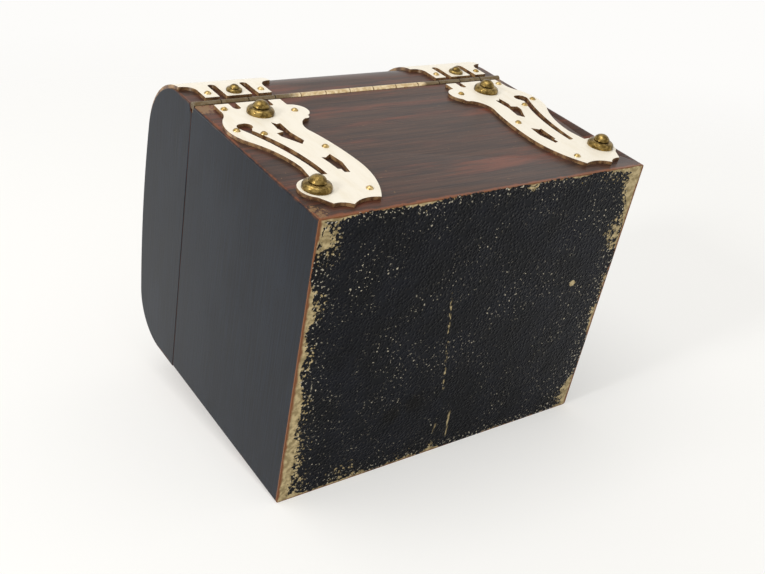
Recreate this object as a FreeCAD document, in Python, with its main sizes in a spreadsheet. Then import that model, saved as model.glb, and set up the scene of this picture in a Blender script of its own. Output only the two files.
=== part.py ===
"""Dome-lidded wooden casket with pierced bone straps, a knuckled brass hinge and a concealed catch.

Millimetres, +Z up. The origin is the centre of the base's underside. The hinge and the two bone
straps are on the back (+Y), the plate with the turning boss is on the front (-Y).
"""
import FreeCAD, Part
import math
import os
import re

V = FreeCAD.Vector
doc = FreeCAD.newDocument("Casket")

# Driving dimensions: alias, value, what it is
DIMENSIONS = (
    ("body_width", 130, "outside width, along X"),
    ("body_depth", 104, "outside depth, along Y"),
    ("joint_height", 78, "base underside to the middle of the lid joint"),
    ("joint_gap", 0.6, "open joint between body and lid"),
    ("wall", 7, "board thickness of body and lid"),
    ("paper", 0.4, "grained paper under the base"),
    ("base_thick", 5, "base board"),
    ("lining", 0.8, "card lining of the walls"),
    ("base_pad", 1.5, "padded lining on the base board"),
    ("lining_drop", 3, "rim to the top of the wall lining"),
    ("crown_height", 32.4, "lid joint to the top of the crown"),
    ("crown_radius", 360, "shallow round of the crown"),
    ("front_round", 18, "round of the lid's front shoulder"),
    ("back_round", 22, "round of the lid's back shoulder"),
    ("barrel_radius", 1.2, "hinge knuckles, outside"),
    ("hinge_pin_radius", 0.5, "hinge pin"),
    ("running_fit", 0.05, "radial play of the hinge pin and the catch's round parts"),
    ("barrel_inset", 0.4, "hinge axis inside the back face"),
    ("barrel_room", 0.35, "groove round the knuckles"),
    ("leaf_width", 5.2, "hinge leaf, from the axis inwards"),
    ("leaf_thick", 0.7, "hinge leaf"),
    ("knuckles", 13, "knuckles of the hinge, both leaves together"),
    ("knuckle_play", 0.3, "end play between knuckles"),
    ("strap_thick", 1.2, "bone of the straps and the front plate"),
    ("strap_margin", 0.7, "end arris to the strap's outer lobe"),
    ("strap_width", 34, "strap across its lobes"),
    ("strap_drop", 4.2, "lid joint to the strap's top edge"),
    ("strap_foot", 3, "base underside to the strap's lowest cusp"),
    ("finger_lift", 1.6, "lid joint to the ends of the lid strap's fingers"),
    ("finger_length", 10, "slots between the lid strap's fingers"),
    ("lid_strap_end", 6, "depth at which the lid strap's tip ends, from the middle"),
    ("boss_radius", 4.5, "large boss at its skirt"),
    ("boss_height", 4.3, "large boss"),
    ("lid_boss_radius", 2.7, "boss on the lid strap at its skirt"),
    ("lid_boss_height", 2.3, "boss on the lid strap"),
    ("knob_radius", 6, "turning boss at its skirt"),
    ("knob_height", 8, "turning boss"),
    ("pin_radius", 1.2, "head of the domed pins"),
    ("pin_height", 0.8, "head of the domed pins"),
    ("shank_radius", 0.6, "shanks of pins and bosses"),
    ("shank_length", 3.2, "shanks of pins and bosses below the head"),
    ("screw_radius", 0.8, "shank of the screws"),
    ("screw_length", 3.6, "screws, head and shank"),
    ("knob_rise", 60, "base underside to the axis of the turning boss"),
    ("spindle_radius", 2, "spindle of the turning boss"),
    ("plate_radius", 15, "front plate, half height"),
    ("crank_throw", 3.5, "turning axis to the crank pin"),
    ("crank_radius", 5.4, "crank disc"),
    ("crank_pin_radius", 0.9, "crank pin"),
    ("yoke_play", 0.25, "crank pin in the bolt's slot, each side"),
    ("disc_thick", 1, "crank disc"),
    ("bolt_thick", 1.5, "catch bolt"),
    ("hook_thick", 1, "hook of the strike"),
    ("cap_thick", 1, "cap plate of the catch"),
    ("catch_play", 0.3, "play between the moving pieces of the catch"),
    ("stud_radius", 1, "guide studs of the bolt"),
    ("strike_thick", 1.2, "strike plate in the lid's rim"),
)
sheet = doc.addObject("Spreadsheet::Sheet", "Dims")
for row, (alias, value, words) in enumerate(DIMENSIONS, 1):
    sheet.set("A%d" % row, words)
    sheet.set("B%d" % row, str(value))
    sheet.setAlias("B%d" % row, alias)
doc.recompute()
size = {alias: float(sheet.get(alias)) for alias, value, words in DIMENSIONS}
nodes = []

half_w = size["body_width"] / 2
half_d = size["body_depth"] / 2
wall = size["wall"]
joint = size["joint_height"]
rim = joint - size["joint_gap"] / 2
lid_rim = joint + size["joint_gap"] / 2
top = joint + size["crown_height"]
hinge_y = half_d - size["barrel_inset"]
inner_front = -half_d + wall


def node(item, label):
    """Gives an object its label and puts it on the list of sub-parts."""
    item.Label = label
    nodes.append(item)
    return item


def body(label):
    return node(doc.addObject("PartDesign::Body", label + "_body"), label)


def plane(owner, role):
    return [item for item in owner.Origin.OriginFeatures if item.Role == role][0]


def sketch(owner, role, edges, offset=None):
    """A sketch on one of the body's origin planes, moved along the plane's normal by an expression."""
    made = owner.newObject("Sketcher::SketchObject", owner.Name + "_sketch")
    made.AttachmentSupport = [(plane(owner, role), "")]
    made.MapMode = "FlatFace"
    if offset:
        made.setExpression("AttachmentOffset.Base.z", offset)
    made.addGeometry(edges, False)
    return made


def pad(owner, drawing, length, reverse=False, middle=False):
    made = owner.newObject("PartDesign::Pad", owner.Name + "_pad")
    made.Profile = drawing
    made.setExpression("Length", length)
    made.Reversed = reverse
    made.Midplane = middle
    return made


def pocket(owner, drawing, length, reverse=False, middle=False):
    """Cuts the drawing into the body, and stops if it cuts nothing."""
    doc.recompute()
    before = owner.Shape.Volume
    made = owner.newObject("PartDesign::Pocket", owner.Name + "_pocket")
    made.Profile = drawing
    made.setExpression("Length", length)
    made.Reversed = reverse
    made.Midplane = middle
    doc.recompute()
    if not owner.Shape.Volume < before:
        raise RuntimeError("a pocket cuts nothing in " + owner.Label)
    return made


def dim(formula):
    """An expression in which each alias is read from the sheet."""
    return re.sub(r"[a-z_]{2,}", lambda found: "<<Dims>>." + found.group(), formula)


def path(start, *steps):
    """A closed outline: each step is a point, or (middle, end) of an arc."""
    edges = []
    last = V(*start)
    for step in steps:
        if isinstance(step[0], (tuple, list)):
            end = V(*step[1])
            edges.append(Part.Arc(last, V(*step[0]), end))
        else:
            end = V(*step)
            edges.append(Part.LineSegment(last, end))
        last = end
    if (last - V(*start)).Length > 1e-6:
        edges.append(Part.LineSegment(last, V(*start)))
    return edges


def rectangle(low_x, low_y, high_x, high_y):
    return path((low_x, low_y), (high_x, low_y), (high_x, high_y), (low_x, high_y))


def circle(x, y, radius):
    return [Part.Circle(V(x, y), V(0, 0, 1), radius)]


def rounded_slot(x, low, high, width):
    """A slot along the sketch's second axis, with a round far end."""
    reach = high - width / 2
    return path((x - width / 2, low), (x + width / 2, low), (x + width / 2, reach),
                ((x, high), (x - width / 2, reach)))


def box(label, lengths, corner):
    """A plain board: three length expressions and three corner expressions."""
    made = node(doc.addObject("Part::Box", label + "_box"), label)
    for side, length in zip(("Length", "Width", "Height"), lengths):
        made.setExpression(side, length)
    for axis, place in zip("xyz", corner):
        made.setExpression("Placement.Base." + axis, place)
    return made


def turned(name, edges):
    """A turned piece about its own Z axis, kept as a pattern for groups."""
    owner = doc.addObject("PartDesign::Body", name + "_pattern")
    drawing = sketch(owner, "XZ_Plane", edges)
    made = owner.newObject("PartDesign::Revolution", name + "_turning")
    made.Profile = drawing
    made.ReferenceAxis = (drawing, ["V_Axis"])
    made.Angle = 360
    doc.recompute()
    return owner


def group(label, pattern, places):
    """Copies of one turned piece, a separate solid at each (point, direction)."""
    made = node(doc.addObject("Part::Feature", label + "_group"), label)
    solids = []
    for point, direction in places:
        copy = pattern.Shape.copy()
        copy.Placement = FreeCAD.Placement(V(*point), FreeCAD.Rotation(V(0, 0, 1), V(*direction)))
        solids.append(copy)
    made.Shape = Part.makeCompound(solids)
    return made


# The lid's section: each shoulder is an arc tangent to the upright side and to the crown
def shoulder(side, radius):
    """Centre of a shoulder's arc and the direction in which it meets the crown."""
    crown = size["crown_radius"]
    across = half_d - radius
    rise = top - crown + math.sqrt((crown - radius) ** 2 - across ** 2)
    centre = V(side * across, rise)
    meet = centre - V(0, top - crown)
    return centre, meet / meet.Length


def on_shoulder(side, radius, inset, turn):
    """A point of the shoulder, inset from the outside, at a share of its turn from the upright."""
    centre, meet = shoulder(side, radius)
    angle = turn * math.atan2(meet.y, abs(meet.x))
    return centre + V(side * math.cos(angle), math.sin(angle)) * (radius - inset)


def crown_point(y, inset):
    """A point of the crown at a depth y, inset from the outside."""
    crown = size["crown_radius"]
    return V(y, top - crown + math.sqrt((crown - inset) ** 2 - y * y))


def flat(vector):
    return (vector.x, vector.y)


def shoulder_steps(side, radius, inset, upward):
    """The upright's end and the arc of a shoulder, as steps of a path."""
    first, middle, last = (flat(on_shoulder(side, radius, inset, turn)) for turn in (0, 0.5, 1))
    if upward:
        return [first, (middle, last)]
    return [last, (middle, first)]


def drill(owner, places, radius, role, depth, reverse=False, offset=None):
    """Round holes with play for a shank of the named radius."""
    edges = []
    for x, y in places:
        edges += circle(x, y, size[radius] + size["running_fit"])
    return pocket(owner, sketch(owner, role, edges, offset), dim(depth), reverse)


# Places on the straps, across from the outer lobe and up from the lowest cusp
STRAP_DRAWN_WIDTH = 34
STRAP_DRAWN_HEIGHT = 70.8
strap_low = size["strap_foot"]
strap_height = joint - size["strap_drop"] - strap_low
BOSS_MARKS = ((16.8, 62), (7, 11.3))
PIN_MARKS = ((6.4, 66.8), (2.7, 51.3), (10.1, 47.4), (29.1, 61.4), (24.4, 34.7), (22.2, 7))
FINGER_MARKS = ((7.1, 3.2), (26.7, 3.2))
FINGER_BOSS_MARK = (16.9, 3.6)
TIP_MARKS = ((8.6, 22), (25.4, 22), (17, 4.2))
TIP_DRAWN_LENGTH = 26
SLOT_MARKS = ((11.2, 2.7), (23, 2.6))


def across(side, a):
    """X of a strap's mark, on the end at side."""
    return side * (half_w - size["strap_margin"] - a * size["strap_width"] / STRAP_DRAWN_WIDTH)


def strap_point(side, a, b):
    return (across(side, a), strap_low + b * strap_height / STRAP_DRAWN_HEIGHT)


def strap_path(side, start, *steps):
    placed = []
    for step in steps:
        if isinstance(step[0], (tuple, list)):
            placed.append((strap_point(side, *step[0]), strap_point(side, *step[1])))
        else:
            placed.append(strap_point(side, *step))
    return path(strap_point(side, *start), *placed)


def back_strap_outline(side):
    """Outline of a strap on the back, with its pierced work."""
    edges = strap_path(
        side, (4.8, 70.8), (4.6, 65.5), ((4.2, 62.8), (3.1, 60.8)), ((0, 52.5), (2.5, 43.6)),
        ((7.9, 33), (9.6, 24)), (8.7, 17.3), ((1.5, 12.5), (4.3, 6.4)), (6.9, 2),
        ((9.9, 1.8), (12.5, 0)), ((17.5, 2.3), (22.7, 1.6)), ((27.9, 13), (29, 24.7)),
        ((27.9, 36), (26.1, 45)), ((26.2, 51.5), (29.3, 55)), ((30.9, 55.3), (31.5, 57)),
        ((33.9, 61.6), (30.3, 65.9)), (29, 66.2), (29, 70.8), (24.4, 70.8), (24.4, 67.6),
        ((23.3, 66.5), (22.2, 67.6)), (22.2, 70.8), (12.5, 70.8), (12.5, 67.4),
        ((11.2, 66.1), (9.9, 67.4)), (9.9, 70.8))
    edges += strap_path(side, (4.1, 52.5), ((9.9, 37), (13, 18.4)), (14.9, 18.2), ((12.9, 36), (7.6, 50.4)),
                        (8.4, 51.9), ((8.9, 54.9), (6.7, 55.6)), ((4.7, 54.9), (4.1, 52.5)))
    edges += strap_path(side, (16.5, 54.6), (17.7, 53), (19.2, 53.4), (18.9, 46.5), (20.1, 40.2),
                        (18.2, 38), (14.5, 44.4), (14.2, 46.8), (16.9, 47.4), (16.1, 49.6))
    edges += strap_path(side, (19.1, 28.5), (20.4, 28), (22.9, 29.8), (23.7, 24), (22.4, 17.5),
                        (20.7, 18), (20.8, 20), (19.8, 20.3), (19.5, 25))
    return edges


# Places of pins, bosses and screws, each listed once for holes and fasteners alike
back_marks = [strap_point(side, *mark) for side in (1, -1) for mark in BOSS_MARKS + PIN_MARKS]
boss_places = [strap_point(side, *mark) for side in (1, -1) for mark in BOSS_MARKS]
pin_places = [strap_point(side, *mark) for side in (1, -1) for mark in PIN_MARKS]
finger_low = joint + size["finger_lift"]
finger_pins = [(across(side, a), finger_low + b) for side in (1, -1) for a, b in FINGER_MARKS]
finger_bosses = [(across(side, FINGER_BOSS_MARK[0]), finger_low + FINGER_BOSS_MARK[1]) for side in (1, -1)]
tip_y = size["lid_strap_end"]
strap_bend = on_shoulder(1, size["back_round"], -size["strap_thick"], 1).x
tip_scale = (strap_bend - tip_y) / TIP_DRAWN_LENGTH
tip_pins = [(across(side, a), tip_y + b * tip_scale) for side in (1, -1) for a, b in TIP_MARKS]
knob_z = size["knob_rise"]
PLATE_PIN_SHARE = 0.82
plate_pin = size["plate_radius"] * PLATE_PIN_SHARE
plate_pins = [(x * plate_pin, knob_z + z * plate_pin) for x, z in ((0, 1), (1, 0), (0, -1), (-1, 0))]

# Depths of the catch inside the front wall, from the wall's inner face outwards
SCREW_HEAD_RADIUS = 1.5
SCREW_HEAD_THICK = 0.7
cap_front = inner_front - size["cap_thick"]
stud_shoulder = 2 * size["catch_play"]
bolt_back = cap_front - stud_shoulder
bolt_front = bolt_back - size["bolt_thick"]
disc_back = bolt_front - size["catch_play"]

# The catch seen from inside, measured from the turning axis
swing = size["crank_throw"] * math.sin(math.radians(45))
stroke = 2 * swing
MORTISE = (-18.5, -7, 25, 8)
CAP = (-22.5, -11, 29, 9.5)
HOOK_WAY = (13.2, 24)
HOOK_SHANK = (19.6, 22.8)
HOOK_FOOT = (14.2, -0.8, 2.6)
NOSE = (13.4, 3.2, 6)
BOLT = (-16.6, -0.8, 8.5, 6.4)
STUDS = ((-9, 3), (6.5, 3))
CAP_SCREW_INSET = 2.2
cap_screws = [(x, knob_z + z) for x in (CAP[0] + CAP_SCREW_INSET, CAP[2] - CAP_SCREW_INSET)
              for z in (CAP[1] + CAP_SCREW_INSET, CAP[3] - CAP_SCREW_INSET)]
STRIKE_REACH = (10, 32)
STRIKE_SCREW_INSET = 2.6
STRIKE_HALF_WIDTH = 2.4
strike_y = inner_front - wall / 2
strike_low = strike_y - STRIKE_HALF_WIDTH
strike_high = strike_y + STRIKE_HALF_WIDTH
strike_screws = [(STRIKE_REACH[0] + STRIKE_SCREW_INSET, strike_y),
                 (STRIKE_REACH[1] - STRIKE_SCREW_INSET, strike_y)]

# Hinge layout
leaf_half = half_w - wall
leaf_in = hinge_y - size["leaf_width"]
groove_radius = size["barrel_radius"] + size["barrel_room"]
leaf_edge = hinge_y - groove_radius
tongue_in = leaf_edge - size["leaf_thick"]
LEAF_SCREWS = 5
LEAF_SCREW_SPREAD = 0.9
leaf_screw_y = (leaf_in + leaf_edge) / 2
leaf_screws = [(leaf_half * LEAF_SCREW_SPREAD * (2 * k / (LEAF_SCREWS - 1) - 1), leaf_screw_y)
               for k in range(LEAF_SCREWS)]


def hinge_groove(owner, up):
    """Room for the knuckles and their tongues along a board's rim; up is 1 in the lid, -1 in the body."""
    groove = sketch(owner, "YZ_Plane", circle(hinge_y, joint, groove_radius))
    pocket(owner, groove, dim("body_width * 2"), middle=True)
    edge = joint + up * size["joint_gap"] / 2
    low, high = sorted((edge - up * size["joint_gap"], edge + up * size["leaf_thick"]))
    tongue = sketch(owner, "YZ_Plane", rectangle(tongue_in, low, hinge_y, high))
    pocket(owner, tongue, dim("body_width * 2"), middle=True)


def leaf_rebate(owner, up):
    """The shallow seat of a hinge leaf, with its screw holes."""
    edge = joint + up * size["joint_gap"] / 2
    low, high = sorted((edge - up * size["joint_gap"], edge + up * size["leaf_thick"]))
    seat = sketch(owner, "YZ_Plane", rectangle(leaf_in, low, leaf_edge, high))
    pocket(owner, seat, dim("body_width - wall * 2"), middle=True)
    start = "joint_height + joint_gap / 2" if up > 0 else "joint_height - joint_gap / 2"
    drill(owner, leaf_screws, "screw_radius", "XY_Plane", "screw_length + running_fit", up > 0, dim(start))


# Body boards, mitred at the corners
def wall_board(label, corners):
    owner = body(label)
    drawing = sketch(owner, "XY_Plane", path(*corners), dim("paper"))
    pad(owner, drawing, dim("joint_height - joint_gap / 2 - paper"))
    return owner


inner_w = half_w - wall
inner_d = half_d - wall
right_outer = ((half_w, -half_d), (half_w, half_d))
right_inner = ((inner_w, inner_d), (inner_w, -inner_d))
left_outer = ((-half_w, half_d), (-half_w, -half_d))
left_inner = ((-inner_w, -inner_d), (-inner_w, inner_d))
front_panel = wall_board("front_panel", (left_outer[1], right_outer[0], right_inner[1], left_inner[0]))
back_panel = wall_board("back_panel", (right_outer[1], left_outer[0], left_inner[1], right_inner[0]))
right_end = wall_board("right_end", right_outer + right_inner)
left_end = wall_board("left_end", left_outer + left_inner)
for board in (back_panel, right_end, left_end):
    hinge_groove(board, -1)
leaf_rebate(back_panel, -1)
drill(back_panel, back_marks, "shank_radius", "XZ_Plane", "shank_length - strap_thick",
      offset=dim("-body_depth / 2"), reverse=True)

# Mortise for the catch in the front board, open at the rim where the hook enters
FRONT_INSIDE = "body_depth / 2 - wall"
cap_low = knob_z + CAP[1]
cap_high = knob_z + CAP[3]
cap_seat = sketch(front_panel, "XZ_Plane", rectangle(CAP[0], cap_low, CAP[2], cap_high), dim(FRONT_INSIDE))
pocket(front_panel, cap_seat, dim("cap_thick"), True)
mortise_low = knob_z + MORTISE[1]
mortise_high = knob_z + MORTISE[3]
mortise = path((MORTISE[0], mortise_low), (MORTISE[2], mortise_low), (MORTISE[2], mortise_high),
               (HOOK_WAY[1], mortise_high), (HOOK_WAY[1], joint), (HOOK_WAY[0], joint),
               (HOOK_WAY[0], mortise_high), (MORTISE[0], mortise_high))
pocket(front_panel, sketch(front_panel, "XZ_Plane", mortise, dim(FRONT_INSIDE)),
       dim("cap_thick + catch_play * 4 + bolt_thick + disc_thick"), True)
drill(front_panel, [(0, knob_z)], "spindle_radius", "XZ_Plane", "body_depth", True)
drill(front_panel, plate_pins, "shank_radius", "XZ_Plane", "shank_length - strap_thick",
      offset=dim("body_depth / 2"))
drill(front_panel, cap_screws, "screw_radius", "XZ_Plane", "screw_length + running_fit", True,
      dim(FRONT_INSIDE))

# Base and linings
INSIDE_W = "body_width - wall * 2"
INSIDE_D = "body_depth - wall * 2"
box("base_paper", (dim("body_width"), dim("body_depth"), dim("paper")),
    (dim("-body_width / 2"), dim("-body_depth / 2"), "0"))
box("base_board", (dim(INSIDE_W), dim(INSIDE_D), dim("base_thick")),
    (dim("wall - body_width / 2"), dim("wall - body_depth / 2"), dim("paper")))
FLOOR = "paper + base_thick"
box("base_lining", (dim(INSIDE_W), dim(INSIDE_D), dim("base_pad")),
    (dim("wall - body_width / 2"), dim("wall - body_depth / 2"), dim(FLOOR)))
LINING_TALL = dim("joint_height - joint_gap / 2 - lining_drop - paper - base_thick - base_pad")
LINING_Z = dim("paper + base_thick + base_pad")
END_LONG = dim("body_depth - wall * 2 - lining * 2")
box("front_lining", (dim(INSIDE_W), dim("lining"), LINING_TALL),
    (dim("wall - body_width / 2"), dim("wall - body_depth / 2"), LINING_Z))
box("back_lining", (dim(INSIDE_W), dim("lining"), LINING_TALL),
    (dim("wall - body_width / 2"), dim("body_depth / 2 - wall - lining"), LINING_Z))
box("right_lining", (dim("lining"), END_LONG, LINING_TALL),
    (dim("body_width / 2 - wall - lining"), dim("wall + lining - body_depth / 2"), LINING_Z))
box("left_lining", (dim("lining"), END_LONG, LINING_TALL),
    (dim("wall - body_width / 2"), dim("wall + lining - body_depth / 2"), LINING_Z))

# Knuckled hinge
def hinge_leaf(label, up, first):
    """A leaf with every second knuckle, counted from first."""
    owner = body(label)
    edge = joint + up * size["joint_gap"] / 2
    far = edge + up * size["leaf_thick"]
    low, high = sorted((edge, far))
    plate = sketch(owner, "YZ_Plane", rectangle(leaf_in, low, leaf_edge, high))
    pad(owner, plate, dim("body_width - wall * 2"), middle=True)
    radius = size["barrel_radius"]
    near_y = hinge_y - math.sqrt(radius ** 2 - (edge - joint) ** 2)
    far_y = hinge_y - math.sqrt(radius ** 2 - (far - joint) ** 2)
    knuckle = path((tongue_in, edge), (near_y, edge), ((hinge_y + radius, joint), (far_y, far)),
                   (tongue_in, far))
    knuckle += circle(hinge_y, joint, size["hinge_pin_radius"] + size["running_fit"])
    start = "(%d * body_width / knuckles) - body_width / 2 + knuckle_play / 2" % first
    drawing = sketch(owner, "YZ_Plane", knuckle, dim(start))
    first_pad = pad(owner, drawing, dim("body_width / knuckles - knuckle_play"))
    doc.recompute()
    pattern = owner.newObject("PartDesign::LinearPattern", label + "_knuckles")
    pattern.Originals = [first_pad]
    pattern.Direction = (plane(owner, "X_Axis"), [""])
    count = int(size["knuckles"] - first + 1) // 2
    pattern.Occurrences = count
    pattern.setExpression("Length", dim("%d * body_width / knuckles" % (2 * count - 2)))
    owner.Tip = pattern
    doc.recompute()
    heads = []
    for x, y in leaf_screws:
        heads += circle(x, y, SCREW_HEAD_RADIUS + size["running_fit"])
    pocket(owner, sketch(owner, "XY_Plane", heads), dim("joint_height * 2"), True)
    return owner


hinge_leaf("hinge_lower_leaf", -1, 0)
hinge_leaf("hinge_upper_leaf", 1, 1)
hinge_pin = node(doc.addObject("Part::Cylinder", "hinge_pin_rod"), "hinge_pin")
hinge_pin.setExpression("Radius", dim("hinge_pin_radius"))
hinge_pin.setExpression("Height", dim("body_width - knuckle_play"))
hinge_pin.Placement.Rotation = FreeCAD.Rotation(V(0, 0, 1), V(1, 0, 0))
hinge_pin.setExpression("Placement.Base.x", dim("knuckle_play / 2 - body_width / 2"))
hinge_pin.setExpression("Placement.Base.y", dim("body_depth / 2 - barrel_inset"))
hinge_pin.setExpression("Placement.Base.z", dim("joint_height"))

# Turned fasteners
def cap_arc(radius, low, high):
    """Middle and end of a dome that rises from radius at low to the axis at high, round about the axis."""
    rise = high - low
    ball = (radius ** 2 + rise ** 2) / (2 * rise)
    half_turn = math.atan2(radius, ball - rise) / 2
    return (ball * math.sin(half_turn), high - ball + ball * math.cos(half_turn)), (0, high)


# Shares of a boss's radius and height at each turn of its half section
SKIRT_TOP = (1, 0.18)
SOFT_SHOULDER = (0.94, 0.33)
SHOULDER_END = (0.8, 0.43)
GROOVE = (0.56, 0.5)
DOME_FOOT = (0.62, 0.55)


def stepped_boss(radius, height, shank, length):
    """Half section: a skirt with a soft shoulder, a groove, a dome, and the shank below."""
    skirt, soft, end, groove, foot = ((share * radius, rise * height) for share, rise in (
        SKIRT_TOP, SOFT_SHOULDER, SHOULDER_END, GROOVE, DOME_FOOT))
    return path((0, -length), (shank, -length), (shank, 0), (radius, 0), skirt, (soft, end), groove, foot,
                cap_arc(*foot, height))


def domed_head(radius, height, shank, length):
    return path((0, -length), (shank, -length), (shank, 0), (radius, 0), cap_arc(radius, 0, height))


shank = (size["shank_radius"], size["shank_length"])
large_boss = turned("large_boss", stepped_boss(size["boss_radius"], size["boss_height"], *shank))
lid_boss = turned("lid_boss", stepped_boss(size["lid_boss_radius"], size["lid_boss_height"], *shank))
domed_pin = turned("domed_pin", domed_head(size["pin_radius"], size["pin_height"], *shank))
flush_screw = turned("flush_screw", path(
    (0, 0), (0, -size["screw_length"]), (size["screw_radius"], -size["screw_length"]),
    (size["screw_radius"], -SCREW_HEAD_THICK), (SCREW_HEAD_RADIUS, -SCREW_HEAD_THICK), (SCREW_HEAD_RADIUS, 0)))
strap_face = half_d + size["strap_thick"]
group("back_bosses", large_boss, [((x, strap_face, z), (0, 1, 0)) for x, z in boss_places])
group("back_pins", domed_pin, [((x, strap_face, z), (0, 1, 0)) for x, z in pin_places])
group("front_pins", domed_pin, [((x, -strap_face, z), (0, -1, 0)) for x, z in plate_pins])
group("lid_bosses", lid_boss, [((x, strap_face, z), (0, 1, 0)) for x, z in finger_bosses])
tip_seats = [(x, y, crown_point(y - size["pin_radius"], -size["strap_thick"]).y) for x, y in tip_pins]
group("lid_pins", domed_pin, [((x, strap_face, z), (0, 1, 0)) for x, z in finger_pins]
      + [(seat, (0, 0, 1)) for seat in tip_seats])
group("hinge_lower_screws", flush_screw, [((x, y, rim), (0, 0, 1)) for x, y in leaf_screws])
group("hinge_upper_screws", flush_screw, [((x, y, lid_rim), (0, 0, -1)) for x, y in leaf_screws])
group("cap_screws", flush_screw, [((x, inner_front, z), (0, 1, 0)) for x, z in cap_screws])
group("strike_screws", flush_screw, [((x, y, lid_rim), (0, 0, -1)) for x, y in strike_screws])

# Pierced straps on the back
for side, label in ((1, "right_back_strap"), (-1, "left_back_strap")):
    strap = body(label)
    edges = back_strap_outline(side)
    for a, b in BOSS_MARKS + PIN_MARKS:
        edges += circle(*strap_point(side, a, b), shank[0] + size["running_fit"])
    pad(strap, sketch(strap, "XZ_Plane", edges, dim("-body_depth / 2")), dim("strap_thick"), reverse=True)

# Lid boards
front_in = flat(on_shoulder(-1, size["front_round"], wall, 1))
back_in = flat(on_shoulder(1, size["back_round"], wall, 1))
LID_SPAN = dim("body_width - wall * 2")
lid_edges = path((half_d, lid_rim), *shoulder_steps(1, size["back_round"], 0, True),
                 (flat(crown_point(0, 0)), flat(on_shoulder(-1, size["front_round"], 0, 1))),
                 *shoulder_steps(-1, size["front_round"], 0, False)[1:], (-half_d, lid_rim))
for label, start in (("lid_right_end", "body_width / 2 - wall"), ("lid_left_end", "-body_width / 2")):
    end = body(label)
    pad(end, sketch(end, "YZ_Plane", lid_edges, dim(start)), dim("wall"))
    hinge_groove(end, 1)


def lid_rail(label, side, radius):
    owner = body(label)
    outer = shoulder_steps(side, radius, 0, True)
    inner = shoulder_steps(side, radius, wall, False)
    edges = path((side * half_d, lid_rim), *outer, *inner, (side * (half_d - wall), lid_rim))
    pad(owner, sketch(owner, "YZ_Plane", edges), LID_SPAN, middle=True)
    return owner


lid_front_rail = lid_rail("lid_front_rail", -1, size["front_round"])
lid_back_rail = lid_rail("lid_back_rail", 1, size["back_round"])
hinge_groove(lid_back_rail, 1)
leaf_rebate(lid_back_rail, 1)
drill(lid_back_rail, finger_pins + finger_bosses, "shank_radius", "XZ_Plane", "shank_length - strap_thick",
      offset=dim("-body_depth / 2"), reverse=True)
LID_RIM = dim("joint_height + joint_gap / 2")
strike_seat = rectangle(STRIKE_REACH[0], strike_low, STRIKE_REACH[1], strike_high)
pocket(lid_front_rail, sketch(lid_front_rail, "XY_Plane", strike_seat, LID_RIM), dim("strike_thick"), True)
drill(lid_front_rail, strike_screws, "screw_radius", "XY_Plane", "screw_length + running_fit", True, LID_RIM)
lid_crown = body("lid_crown")
crown_edges = path(flat(on_shoulder(1, size["back_round"], 0, 1)),
                   (flat(crown_point(0, 0)), flat(on_shoulder(-1, size["front_round"], 0, 1))), front_in,
                   (flat(crown_point(0, wall)), back_in))
pad(lid_crown, sketch(lid_crown, "YZ_Plane", crown_edges), LID_SPAN, middle=True)
tip_holes = []
for x, y in tip_pins:
    tip_holes += circle(x, y, shank[0] + size["running_fit"])
CROWN_LEVEL = "joint_height + crown_height - wall / 2"
pocket(lid_crown, sketch(lid_crown, "XY_Plane", tip_holes, dim(CROWN_LEVEL)), dim("wall"), True)
lid_lining = body("lid_lining")
lining_edges = path(back_in, (flat(crown_point(0, wall)), front_in),
                    flat(on_shoulder(-1, size["front_round"], wall + size["lining"], 1)),
                    (flat(crown_point(0, wall + size["lining"])),
                     flat(on_shoulder(1, size["back_round"], wall + size["lining"], 1))))
pad(lid_lining, sketch(lid_lining, "YZ_Plane", lining_edges), LID_SPAN, middle=True)

# Lid straps: a bent band, pierced from behind into fingers and shaped from above into a tip
thick = size["strap_thick"]
outer_back = [flat(on_shoulder(1, size["back_round"], -thick, turn)) for turn in (0, 0.5, 1)]
inner_back = [flat(on_shoulder(1, size["back_round"], 0, turn)) for turn in (0, 0.5, 1)]
mid_y = (tip_y + strap_bend) / 2
band = path((half_d, finger_low), (strap_face, finger_low), outer_back[0], (outer_back[1], outer_back[2]),
            (flat(crown_point(mid_y, -thick)), flat(crown_point(tip_y, -thick))), flat(crown_point(tip_y, 0)),
            (flat(crown_point(mid_y, 0)), inner_back[2]), (inner_back[1], inner_back[0]))
OVER = 3
FINGER_SIDES = ((4.8, 0.6, -OVER), (29.2, 33.4, STRAP_DRAWN_WIDTH + OVER))
NECK_SHARE = 0.55
FLARE_BULGE = (0.3, 0.75)
TIP_SIDES = ((0, 9.5, 12, -OVER), (STRAP_DRAWN_WIDTH, 24.5, 22, STRAP_DRAWN_WIDTH + OVER))
TIP_LEVELS = (18.5, 15.5, 9.6, 5.2)
TIP_BULGE = 0.35


def finger_trims(side):
    """Cut away beside and between the fingers, in the back view."""
    low = finger_low - OVER
    neck = finger_low + NECK_SHARE * size["finger_length"]
    flare = finger_low + size["finger_length"]
    edges = []
    for slot_at, slot_width in SLOT_MARKS:
        edges += rounded_slot(across(side, slot_at), low, flare, slot_width)
    for edge, lobe, out in FINGER_SIDES:
        bulge = (across(side, edge + FLARE_BULGE[0] * (lobe - edge)), neck + FLARE_BULGE[1] * (flare - neck))
        edges += path((across(side, edge), low), (across(side, edge), neck), (bulge, (across(side, lobe), flare)),
                      (across(side, out), flare), (across(side, out), low))
    return edges


def tip_trims(side):
    """Cut away beside the tip, in the view from above."""
    def at(a, b):
        return (across(side, a), tip_y + b * tip_scale)
    shoulders, upper, middle, lower = TIP_LEVELS
    edges = []
    for near, waist, tip, out in TIP_SIDES:
        bulge = waist + TIP_BULGE * (near - waist)
        edges += path(at(near, shoulders), (at(bulge, upper), at(waist, middle)), (at(bulge, lower), at(tip, 0)),
                      at(tip, -OVER), at(out, -OVER), at(out, shoulders))
    return edges


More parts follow.
